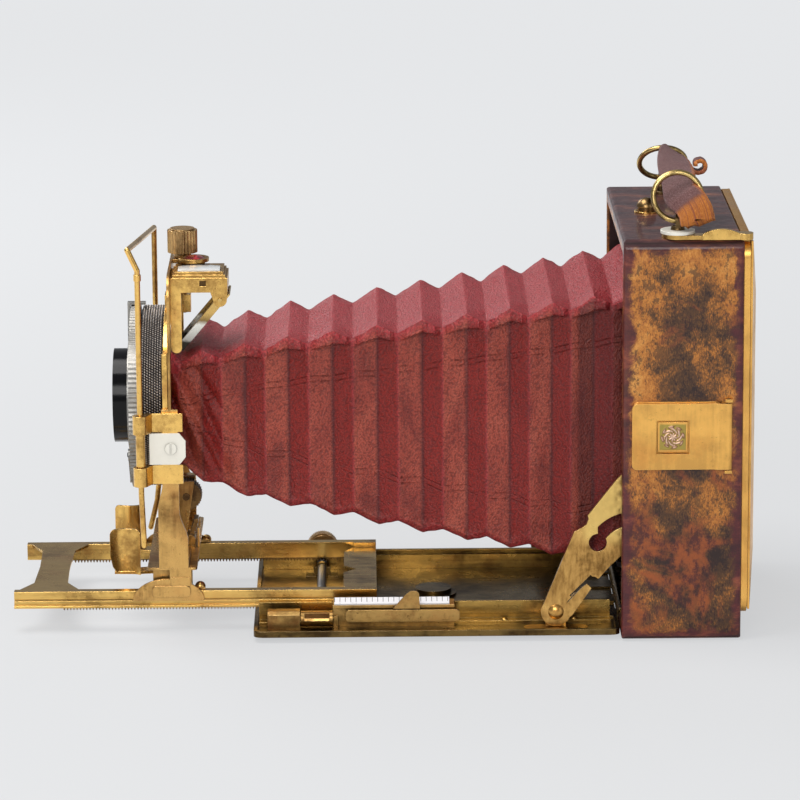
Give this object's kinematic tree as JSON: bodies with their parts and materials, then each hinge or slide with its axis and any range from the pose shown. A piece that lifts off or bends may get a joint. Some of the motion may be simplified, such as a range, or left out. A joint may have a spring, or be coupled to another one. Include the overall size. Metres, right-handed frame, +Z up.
{
  "type": "tropical plate camera",
  "caption": "Folding plate camera of lacquered wood and brass with red bellows, drop bed on struts, rack-focused track, shutter with lens, finders and a leather carrying strap.",
  "frame": {"origin": "mouth of the tripod bush under the bed, level with the foot of the body", "axes": "+X from the lens to the back, +Y across to the side with the focusing knob, +Z up"},
  "size_m": [0.2895, 0.1263, 0.1834],
  "materials": {
    "lacquered_wood": "mottled brown lacquer, glossy",
    "golden_brass": "aged lacquered brass",
    "dark_brass": "darkened brass",
    "black_paint": "gloss black",
    "bright_metal": "nickel plate, satin",
    "clear_glass": "clear",
    "frosted_glass": "frosted",
    "mirror_glass": "polished",
    "red_glass": "deep red",
    "red_leather": "fine grain",
    "brown_leather": "worn",
    "white_scale": "white enamel"
  },
  "bodies": {
    "camera": {"body_shell": "lacquered_wood", "body_rails": "dark_brass", "plate_frame": "black_paint", "ground_glass": "frosted_glass", "back_frame": "golden_brass", "lid_hinge_pin": "dark_brass", "latch_washer": "bright_metal", "ring_post_near": "dark_brass", "ring_post_far": "dark_brass", "button_bezel": "golden_brass", "sight_plate": "golden_brass", "sight_flap_pin": "dark_brass", "bed_panel": "lacquered_wood", "bed_tray": "golden_brass", "bed_hinge": "golden_brass", "bed_hinge_pin": "dark_brass", "guides": "golden_brass", "tripod_bush": "dark_brass", "struts": "golden_brass", "strut_fittings": "dark_brass", "stop_block": "golden_brass", "scale_carrier": "golden_brass", "distance_scale": "white_scale", "shaft_bearings": "golden_brass", "bellows": "red_leather"},
    "lid": {"back_lid": "golden_brass"},
    "latch": {"top_latch": "golden_brass"},
    "handle": {"ring_near": "dark_brass", "ring_far": "dark_brass", "handle_strap": "brown_leather"},
    "button": {"bed_button": "dark_brass"},
    "sight": {"sight_flap": "golden_brass"},
    "stop_lever": {"stop_lever": "dark_brass"},
    "track": {"track": "golden_brass", "racks": "dark_brass"},
    "focus": {"pinion_shaft": "dark_brass", "focus_knob": "dark_brass"},
    "carriage": {"base_plate": "golden_brass"},
    "grip_near": {"grip_near": "golden_brass"},
    "grip_far": {"grip_far": "golden_brass"},
    "lock": {"lock_lever": "dark_brass"},
    "frame": {"standard_frame": "golden_brass", "wire_clip": "golden_brass", "clip_plate": "bright_metal", "finder_body": "golden_brass", "finder_mirror": "mirror_glass", "level_jewel": "red_glass"},
    "shift": {"shift_wheel": "dark_brass"},
    "panel": {"lens_panel": "golden_brass", "shutter_case": "black_paint", "lens_barrel": "black_paint", "lens_glass": "clear_glass", "rear_cell": "black_paint"},
    "rise": {"rise_screw": "dark_brass"},
    "wire": {"wire_frame": "golden_brass"},
    "speed": {"speed_ring": "bright_metal"},
    "cock": {"cocking_lever": "bright_metal"},
    "release": {"release_lever": "bright_metal"}
  },
  "joints": [
    {"name": "track_slide", "type": "slide", "parent": "camera", "child": "track", "axis": [1, 0, 0], "range_m": [-0.012, 0.08], "deforming": ["bellows"]},
    {"name": "focus_turn", "type": "hinge", "parent": "camera", "child": "focus", "pos_m": [-0.0448, 0, 0.0066], "axis": [0, 1, 0], "range_deg": [-390, 2600]},
    {"name": "carriage_slide", "type": "slide", "parent": "track", "child": "carriage", "axis": [1, 0, 0], "range_m": [-0.025, 0.04]},
    {"name": "grip_near_turn", "type": "hinge", "parent": "carriage", "child": "grip_near", "pos_m": [-0.1062, -0.014, 0.0182], "axis": [0, 0, 1], "range_deg": [-8, 0], "stiffness_Nm_per_rad": 0.2},
    {"name": "grip_far_turn", "type": "hinge", "parent": "carriage", "child": "grip_far", "pos_m": [-0.1062, 0.014, 0.0182], "axis": [0, 0, 1], "range_deg": [0, 8], "stiffness_Nm_per_rad": 0.2},
    {"name": "lock_turn", "type": "hinge", "parent": "carriage", "child": "lock", "pos_m": [-0.0965, 0, 0.0278], "axis": [0, 1, 0], "range_deg": [0, 30]},
    {"name": "cross_shift", "type": "slide", "parent": "carriage", "child": "frame", "axis": [0, 1, 0], "range_m": [-0.006, 0.006]},
    {"name": "shift_turn", "type": "hinge", "parent": "carriage", "child": "shift", "pos_m": [-0.0981, 0, 0.0453], "axis": [0, 1, 0], "range_deg": [-2200, 2200]},
    {"name": "rise_slide", "type": "slide", "parent": "frame", "child": "panel", "axis": [0, 0, 1], "range_m": [-0.003, 0.008]},
    {"name": "rise_turn", "type": "hinge", "parent": "frame", "child": "rise", "pos_m": [-0.098, 0, 0.148], "axis": [0, 0, 1], "range_deg": [-2920, 1480]},
    {"name": "wire_swing", "type": "hinge", "parent": "frame", "child": "wire", "pos_m": [-0.1137, -0.0456, 0.09], "axis": [0, 0, 1], "range_deg": [0, 176]},
    {"name": "speed_turn", "type": "hinge", "parent": "panel", "child": "speed", "pos_m": [-0.117, 0, 0.086], "axis": [1, 0, 0], "range_deg": [-120, 160]},
    {"name": "cock_turn", "type": "hinge", "parent": "panel", "child": "cock", "pos_m": [-0.1195, 0, 0.086], "axis": [1, 0, 0], "range_deg": [0, 45], "stiffness_Nm_per_rad": 0.03},
    {"name": "release_turn", "type": "hinge", "parent": "panel", "child": "release", "pos_m": [-0.1195, -0.018, 0.066], "axis": [1, 0, 0], "range_deg": [0, 12], "stiffness_Nm_per_rad": 0.05},
    {"name": "sight_swing", "type": "hinge", "parent": "camera", "child": "sight", "pos_m": [0.1125, -0.0605, 0.0819], "axis": [0, 0, 1], "range_deg": [0, 95]},
    {"name": "latch_swing", "type": "hinge", "parent": "camera", "child": "latch", "pos_m": [0.093, -0.0518, 0.1589], "axis": [0, 0, 1], "range_deg": [-45, 0]},
    {"name": "handle_swing", "type": "hinge", "parent": "camera", "child": "handle", "pos_m": [0.093, 0, 0.1644], "axis": [0, 1, 0], "range_deg": [-20, 20]},
    {"name": "button_press", "type": "slide", "parent": "camera", "child": "button", "axis": [0, 0, 1], "range_m": [-0.001, 0], "stiffness_N_per_m": 800},
    {"name": "lid_swing", "type": "hinge", "parent": "camera", "child": "lid", "pos_m": [0.1219, 0.0572, 0.08], "axis": [0, 0, 1], "range_deg": [0, 110]},
    {"name": "stop_turn", "type": "hinge", "parent": "camera", "child": "stop_lever", "pos_m": [-0.046, -0.047, 0.0068], "axis": [1, 0, 0], "range_deg": [-60, 0]}
  ],
  "couplings": [
    {"joint": "focus_turn", "follows": "track_slide", "rad_per_m": 555.56},
    {"joint": "shift_turn", "follows": "cross_shift", "rad_per_m": -6283.2},
    {"joint": "rise_turn", "follows": "rise_slide", "rad_per_m": -6283.2}
  ]
}
